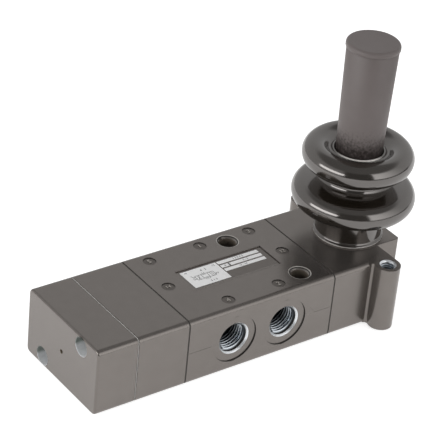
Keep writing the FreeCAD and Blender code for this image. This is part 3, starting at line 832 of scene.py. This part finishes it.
def boot():
    s = bootShape
    bm = bmesh.new()
    lipRadius, lipHeight = s["lip"][0] * mm, s["lip"][1] * mm
    neck = (s["folds"][0][0] - s["folds"][0][2]) * mm
    edge, flare, bead = s["lipRound"] * mm, s["flare"] * mm, s["beadRadius"] * mm
    last = lineTo(bm, [(r * mm, barTop + z * mm) for r, z in s["sleeve"]])
    last = circleRun(bm, (leverX + lipRadius - edge, barTop + edge), edge, -pi / 2, pi / 3, 6, last)
    flareCentre = (leverX + neck + flare, barTop + lipHeight + flare * s["flareRise"])
    last = circleRun(bm, flareCentre, flare, -2 * pi / 3, -pi, 6, last)
    # up the outside of the folds, round the lip at the grip and back down the inside
    for inward in (0.0, s["wall"]):
        bulges, angles = foldAngles(inward)
        angles.append(pi / 2)
        runs = list(zip(s["folds"], bulges, angles, angles[1:]))
        if inward:
            runs = [(fold, bulge, b, a) for fold, bulge, a, b in reversed(runs)]
        for fold, bulge, a, b in runs:
            turn = pi if bulge < 0 else 0.0
            centre = (leverX + fold[0] * mm, fold[1] * mm)
            last = circleRun(bm, centre, abs(bulge) * mm, a + turn, b + turn, s["foldSteps"], last)
        if not inward:
            height = (s["folds"][-1][1] - s["folds"][-1][2]) * mm
            beadCentre = (leverX + s["gripReach"] * mm + bead, height + bead * s["beadRise"])
            last = circleRun(bm, beadCentre, bead, *s["beadTurn"], 14, last)
    bm.verts.ensure_lookup_table()
    bm.edges.new((last, bm.verts[0]))
    turnAboutLever(bm, s["turnSteps"])
    piece = keep(bm, "folded_boot", [finishes["boot_rubber"]], None, 60.0)
    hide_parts("boot")
    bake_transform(piece)


boot()
print("boot folded")


# The grip, a tapered moulded cylinder under a slightly wider cap, in millimetres
gripShape = {
    "foot": 1.0,
    "footRadius": 9.5,
    "boreRadius": 4.1,
    "boreDepth": 25.0,
    "bodyRadius": 10.65,
    "groove": 0.12,
    "capHeight": 2.4,
    "capInset": 0.15,
    "capRise": 0.05,
    "capLip": 0.2,
    "edge": 1.3,
    "dish": 0.12,
    "dishRim": 2.6,
}
gripSteps = 128


def grip():
    s = {key: value * mm for key, value in gripShape.items()}
    low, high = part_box("lever_grip")
    capRadius = (high.x - low.x) / 2
    bore, boreTop = s["boreRadius"], low.z + s["boreDepth"]
    seam = high.z - s["capHeight"]
    bm = bmesh.new()
    last = lineTo(bm, [(0, boreTop), (bore, boreTop), (bore, low.z), (s["footRadius"] - s["foot"], low.z)])
    foot = (leverX + s["footRadius"] - s["foot"], low.z + s["foot"])
    last = circleRun(bm, foot, s["foot"], -pi / 2, 0, 6, last)
    last = lineTo(bm, [
        (s["bodyRadius"], seam - s["groove"]),
        (s["bodyRadius"] - s["groove"], seam),
        (capRadius - s["capInset"], seam + s["capRise"]),
        (capRadius, seam + s["capLip"]),
    ], last)
    top = (leverX + capRadius - s["edge"], high.z - s["edge"])
    last = circleRun(bm, top, s["edge"], 0, pi / 2, 12, last)
    lineTo(bm, [(capRadius - s["dishRim"], high.z - s["dish"] * 0.4), (0, high.z - s["dish"])], last)
    turnAboutLever(bm, gripSteps)
    piece = keep(bm, "moulded_grip", [finishes["grip_plastic"]], "lever", 50.0)
    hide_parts("lever_grip")


grip()
print("grip turned")


# The label: white printed fields on a dark plate, with the sign for a five-port valve, in millimetres
labelPrint = {
    "lift": 0.03,
    "line": 0.16,
    "whiteField": (0.2, 17.5, -5.9, 5.7),
    "bars": (18.0, 38.0),
    "barTops": (5.7, 3.0, 0.3),
    "barWidth": 1.9,
    "divider": 22.0,
    "dividerWidth": 0.6,
    "ledge": 0.98,
    "ledgeDepth": 0.15,
    "signDepth": 0.02,
}
valveDrawing = {
    "square": 2.9,
    "left": 4.4,
    "low": -1.8,
    "portLine": 1.0,
    "stop": 0.5,
    "under": ((0.2, 0.5, 0.8), 0.35),
    "over": ((0.35, 0.65), 0.3),
    "arrowGap": 0.1,
    "arrowFeet": ((0.5, 0.2), (0.5, 0.8)),
    "arrowTops": (0.35, 0.65),
    "springStep": 0.42,
    "springSpan": (0.5, 1.5),
    "springLine": 0.12,
    "lever": (((0.0, 2.2), (-1.2, 2.2), None), ((-0.8, 1.9), (-1.5, 3.6), 0.22)),
}


def field(bm, x0, x1, y0, y1, lift=1.0):
    # flat printed field, placed from the plate's left end and centre line
    corners = [(x0, y0), (x1, y0), (x1, y1), (x0, y1)]
    z = labelHigh.z + labelPrint["lift"] * lift * mm
    bm.faces.new([bm.verts.new((labelLow.x + x * mm, y * mm, z)) for x, y in corners])


def stroke(bm, a, b, width=None):
    # printed line between two points of the plate
    start, end = Vector((a[0], a[1], 0)), Vector((b[0], b[1], 0))
    run = (end - start).normalized()
    side = Vector((-run.y, run.x, 0)) * (width or labelPrint["line"]) / 2
    z = labelHigh.z + labelPrint["lift"] * 2 * mm
    corners = [start - side, end - side, end + side, start + side]
    bm.faces.new([bm.verts.new((labelLow.x + c.x * mm, c.y * mm, z)) for c in corners])


def printedFields():
    bm = bmesh.new()
    x0, x1, y0, y1 = labelPrint["whiteField"]
    field(bm, x0, x1, y0, y1)
    left, right = labelPrint["bars"]
    for top in labelPrint["barTops"]:
        field(bm, left, right, top - labelPrint["barWidth"], top)
    thicken(bm, (0, 0, -labelPrint["lift"] * 0.8 * mm))
    keep(bm, "label_white_fields", [whitePrint], "valve", 35.0)


def labelLedge():
    # level strips beside the plate, in front and to the left of it
    bm = bmesh.new()
    gap = labelPrint["ledge"]
    x0, x1 = -gap, (labelHigh.x - labelLow.x) / mm
    y0, y1 = labelLow.y / mm - gap, labelHigh.y / mm
    field(bm, x0, x1, y0, y0 + gap, -1.0)
    field(bm, x0, 0.0, y0 + gap, y1, -1.0)
    thicken(bm, (0, 0, -labelPrint["ledgeDepth"] * mm))
    keep(bm, "label_ledge", [plainCoat], "valve", 35.0)


def valveSign():
    # three squares side by side, five connections, arrows, a lever and two springs
    bm = bmesh.new()
    d = valveDrawing
    size, left, low = d["square"], d["left"], d["low"]
    high, right = low + size, left + 3 * size
    for i in range(3):
        x = left + i * size
        for a, b in (((x, low), (x + size, low)), ((x, high), (x + size, high)), ((x, low), (x, high))):
            stroke(bm, a, b)
    stroke(bm, (right, low), (right, high))
    for edge, out, (parts, half) in ((low, -1, d["under"]), (high, 1, d["over"])):
        for part in parts:
            x = left + size + size * part
            stroke(bm, (x, edge), (x, edge + out * d["portLine"]))
            stroke(bm, (x - half, edge - out * d["stop"]), (x + half, edge - out * d["stop"]))
    for x, feet in zip((left, left + 2 * size), d["arrowFeet"]):
        for foot, top in zip(feet, d["arrowTops"]):
            stroke(bm, (x + size * foot, low + d["arrowGap"]), (x + size * top, high - d["arrowGap"]))
    near, far = d["springSpan"]
    for side, x in ((-d["springStep"], left), (d["springStep"], right)):
        for k in range(4):
            first, second = (near, far) if k % 2 else (far, near)
            stroke(bm, (x + side * k, low + first), (x + side * (k + 1), low + second), d["springLine"])
    for a, b, width in d["lever"]:
        stroke(bm, (left + a[0], low + a[1]), (left + b[0], low + b[1]), width)
    top, divider = labelPrint["barTops"][1], labelPrint["divider"]
    stroke(bm, (divider, top), (divider, top - labelPrint["barWidth"]), labelPrint["dividerWidth"])
    thicken(bm, (0, 0, -labelPrint["signDepth"] * mm))
    keep(bm, "label_valve_sign", [darkPrint], "valve", 35.0)


def figures(text, size, place, material, name, depth):
    # numbers as a thin mesh, lying on the top face and read from the two-port side
    curve = bpy.data.curves.new(name + "_curve", "FONT")
    curve.body = text
    curve.size = size
    curve.align_x = "CENTER"
    curve.align_y = "CENTER"
    curve.extrude = depth
    curve.resolution_u = 4
    holder = bpy.data.objects.new(name + "_holder", curve)
    bpy.context.scene.collection.objects.link(holder)
    bpy.context.view_layer.update()
    mesh = bpy.data.meshes.new_from_object(holder)
    bpy.data.objects.remove(holder)
    bm = bmesh.new()
    bm.from_mesh(mesh)
    bmesh.ops.translate(bm, verts=bm.verts, vec=place)
    bmesh.ops.remove_doubles(bm, verts=bm.verts, dist=0.001 * mm)
    keep(bm, name, [material], "valve", 30.0)


printedFields()
labelLedge()
valveSign()
labelFigures = (
    ("4   2", 10.2, 3.6, 1.5),
    ("5 1 3", 10.2, -4.4, 1.5),
    ("14", 2.2, 4.4, 1.3),
    ("12", 15.6, 4.4, 1.3),
    ("1 2 3 4 5", 28.0, 4.75, 1.4),
    ("4", 20.0, 2.05, 1.4),
    ("5 - 2", 30.0, 2.05, 1.4),
    ("12 - 14", 27.0, -0.65, 1.4),
)
figureLift, figureDepth = 0.05 * mm, 0.01 * mm
for i, (text, x, y, size) in enumerate(labelFigures):
    place = (labelLow.x + x * mm, y * mm, labelHigh.z + figureLift)
    figures(text, size * mm, place, darkPrint, f"label_figures_{i + 1}", figureDepth)
print("label printed")


# Port numbers, raised in their round recesses, with a painted highlight
markPlaces = {
    "rowOffset": 18.6 * mm,
    "endGap": 3.5 * mm,
    "sunk": 0.18 * mm,
    "size": 3.1 * mm,
    "twoFigures": 0.8,
    "depth": 0.14 * mm,
}


def portNumbers():
    spots = {
        "14": (ports["port_5"]["pos_m"][0] - markPlaces["endGap"], 0),
        "12": (ports["port_3"]["pos_m"][0] + markPlaces["endGap"], 0),
    }
    for name, port in ports.items():
        spots[name[-1]] = (port["pos_m"][0], port["axis"][1] * markPlaces["rowOffset"])
    for text, (x, y) in spots.items():
        size = markPlaces["size"] * (markPlaces["twoFigures"] if len(text) > 1 else 1.0)
        place = (x, y, barTop - markPlaces["sunk"])
        figures(text, size, place, highlightCoat, f"port_number_{text}", markPlaces["depth"])


portNumbers()
print("port numbers raised")


# Faint cast line along the two-port side, with a small forked end
castLine = {
    "width": 0.22 * mm,
    "height": 0.05 * mm,
    "sunk": 0.02 * mm,
    "endGap": 0.3 * mm,
    "portGap": 0.5 * mm,
    "fork": 4.6 * mm,
    "prongs": ((0.4 * mm, -0.6 * mm), (2.2 * mm, 3.0 * mm)),
}


def ridge(bm, a, b):
    # low three-sided ridge on the near face between two (x, z) points
    run = (Vector((b[0], 0, b[1])) - Vector((a[0], 0, a[1]))).normalized()
    side = Vector((-run.z, 0, run.x)) * castLine["width"] / 2
    sunk, proud = Vector((0, castLine["sunk"], 0)), Vector((0, -castLine["height"], 0))
    ends = []
    for x, z in (a, b):
        point = Vector((x, barLow.y, z))
        ends.append([bm.verts.new(point + reach) for reach in (sunk + side, sunk - side, proud)])
    for i in range(3):
        j = (i + 1) % 3
        bm.faces.new((ends[0][i], ends[0][j], ends[1][j], ends[1][i]))
    bm.faces.new(ends[0])
    bm.faces.new(ends[1])


def castLines():
    bm = bmesh.new()
    c = castLine
    leftEdge, middle = ports["port_4"]["pos_m"][0] - spotface["radius"], ports["port_4"]["pos_m"][2]
    rightEdge = ports["port_2"]["pos_m"][0] + spotface["radius"]
    fork = (rightEdge + c["fork"], middle)
    ridge(bm, (barLow.x + c["endGap"], middle), (leftEdge - c["portGap"], middle))
    for x, z in c["prongs"]:
        ridge(bm, (rightEdge + x, middle + z), fork)
    ridge(bm, fork, (barHigh.x - c["endGap"], middle))
    bmesh.ops.recalc_face_normals(bm, faces=bm.faces)
    keep(bm, "cast_line", [finishes["coated_aluminium"]], "valve", 20.0)


castLines()
print("cast line added")


# The two centring springs, each a welded copy of its solid
def coil(node):
    bm = bmesh.new()
    bm.from_mesh(nodes[node].data)
    bmesh.ops.remove_doubles(bm, verts=bm.verts, dist=skin["weld"])
    piece = keep(bm, node + "_coil", [finishes["spring_steel"]], None, 35.0)
    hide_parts(node)
    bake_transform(piece)


coil("spring_outer")
coil("spring_inner")


# Floor, surroundings, lights and camera
stage = {"floor": 1.5, "drop": 0.0002, "roughness": 0.9, "floorLevel": 0.82, "floorGlow": 0.74}
# brightness round the object by direction: spans in degrees from +X towards +Y, or as height of the unit direction
around = {
    "plain": 0.72,
    "right": 2.3,
    "rightFar": 0.8,
    "front": 0.14,
    "high": 0.3,
    "low": 0.12,
    "rightSpan": (-97, -93, -10, 30),
    "fade": (-95, -20),
    "frontSpan": (-165, -150, -99, -95),
    "facingSpan": (-100, -95, -20, -5),
    "highSpan": (0.62, 0.78),
    "lowSpan": (0.0, 0.05),
}


def floor():
    bm = bmesh.new()
    bmesh.ops.create_grid(bm, x_segments=1, y_segments=1, size=stage["floor"] / 2)
    bmesh.ops.translate(bm, verts=bm.verts, vec=(0, 0, -stage["drop"]))
    paint = Paint("white_floor")
    paint.shader.inputs["Base Color"].default_value = (stage["floorLevel"],) * 3 + (1,)
    paint.shader.inputs["Roughness"].default_value = stage["roughness"]
    paint.shader.inputs["Specular IOR Level"].default_value = 0.0
    surface = Wire(paint, paint.shader.outputs[0])
    glow = paint.add("ShaderNodeEmission", None, {"Color": (1, 1, 1, 1), "Strength": stage["floorGlow"]})
    camera, glossy = (paint.add("ShaderNodeLightPath", output=f"Is {ray} Ray") for ray in ("Camera", "Glossy"))
    seen = camera + glossy
    lit = paint.add("ShaderNodeAddShader", None, (surface, glow))
    both = paint.add("ShaderNodeMixShader", None, (seen, surface, lit))
    paint.tree.links.new(both.socket, paint.tree.nodes["Material Output"].inputs["Surface"])
    keep(bm, "floor", [paint.material], None)


def surround():
    # bright low down, brighter to the front right, dark overhead, and white behind the object
    world = bpy.data.worlds.new("surround")
    bpy.context.scene.world = world
    world.use_nodes = True
    paint = Paint(None, world.node_tree)
    x, y, z = paint.split(paint.add("ShaderNodeTexCoord", output="Generated"))
    turn = y.maths("ARCTAN2", y, x)

    def span(name):
        a, b, c, d = (radians(v) for v in around[name])
        return paint.ramp(turn, a, b) * paint.ramp(turn, d, c)

    a = around
    right = paint.ramp(turn, *[radians(v) for v in a["fade"]], a["right"], a["rightFar"])
    level = a["plain"] + span("rightSpan") * (right - a["plain"]) + span("frontSpan") * (a["front"] - a["plain"])
    high, above = paint.ramp(z, *a["highSpan"]), paint.ramp(z, *a["lowSpan"])
    lit = level * (1 - high) + high * a["high"]
    facing = span("facingSpan")
    lit = lit * (1 - (1 - above) * facing) + (1 - above) * facing * a["low"]
    camera = paint.add("ShaderNodeLightPath", output="Is Camera Ray")
    back = paint.tree.nodes["Background"]
    back.inputs["Color"].default_value = (1, 1, 1, 1)
    paint.plug(back.inputs["Strength"], lit * (1 - camera) + camera)


lamps = {"left_box": {"at": (-0.95, 0.02, 0.36), "size": (1.05, 0.27), "power": 3.6}}
lookAt = Vector((0.0, 0.0, 0.03))


def lights():
    for name, s in lamps.items():
        lamp = bpy.data.lights.new(name, "AREA")
        lamp.shape = "RECTANGLE"
        lamp.size, lamp.size_y = s["size"]
        lamp.energy = s["power"]
        holder = bpy.data.objects.new(name, lamp)
        bpy.context.scene.collection.objects.link(holder)
        holder.location = s["at"]
        holder.rotation_euler = (lookAt - holder.location).to_track_quat("-Z", "Y").to_euler()


cameraSet = {
    "at": (-0.45906, -0.54891, 0.48448),
    "azimuth": -38.463,
    "elevation": 31.628,
    "roll": 5.882,
    "lens": 170.27,
    "film": 36.0,
    "nearest": 0.01,
}


def camera():
    eye = bpy.data.cameras.new("camera")
    eye.lens = cameraSet["lens"]
    eye.sensor_width = cameraSet["film"]
    eye.clip_start = cameraSet["nearest"]
    holder = bpy.data.objects.new("camera", eye)
    bpy.context.scene.collection.objects.link(holder)
    turn = (
        Matrix.Rotation(radians(cameraSet["azimuth"]), 4, "Z")
        @ Matrix.Rotation(radians(90 - cameraSet["elevation"]), 4, "X")
        @ Matrix.Rotation(radians(cameraSet["roll"]), 4, "Z")
    )
    holder.matrix_world = Matrix.Translation(cameraSet["at"]) @ turn
    bpy.context.scene.camera = holder


floor()
surround()
lights()
camera()
bpy.context.scene.view_settings.view_transform = "Standard"
print("stage set")
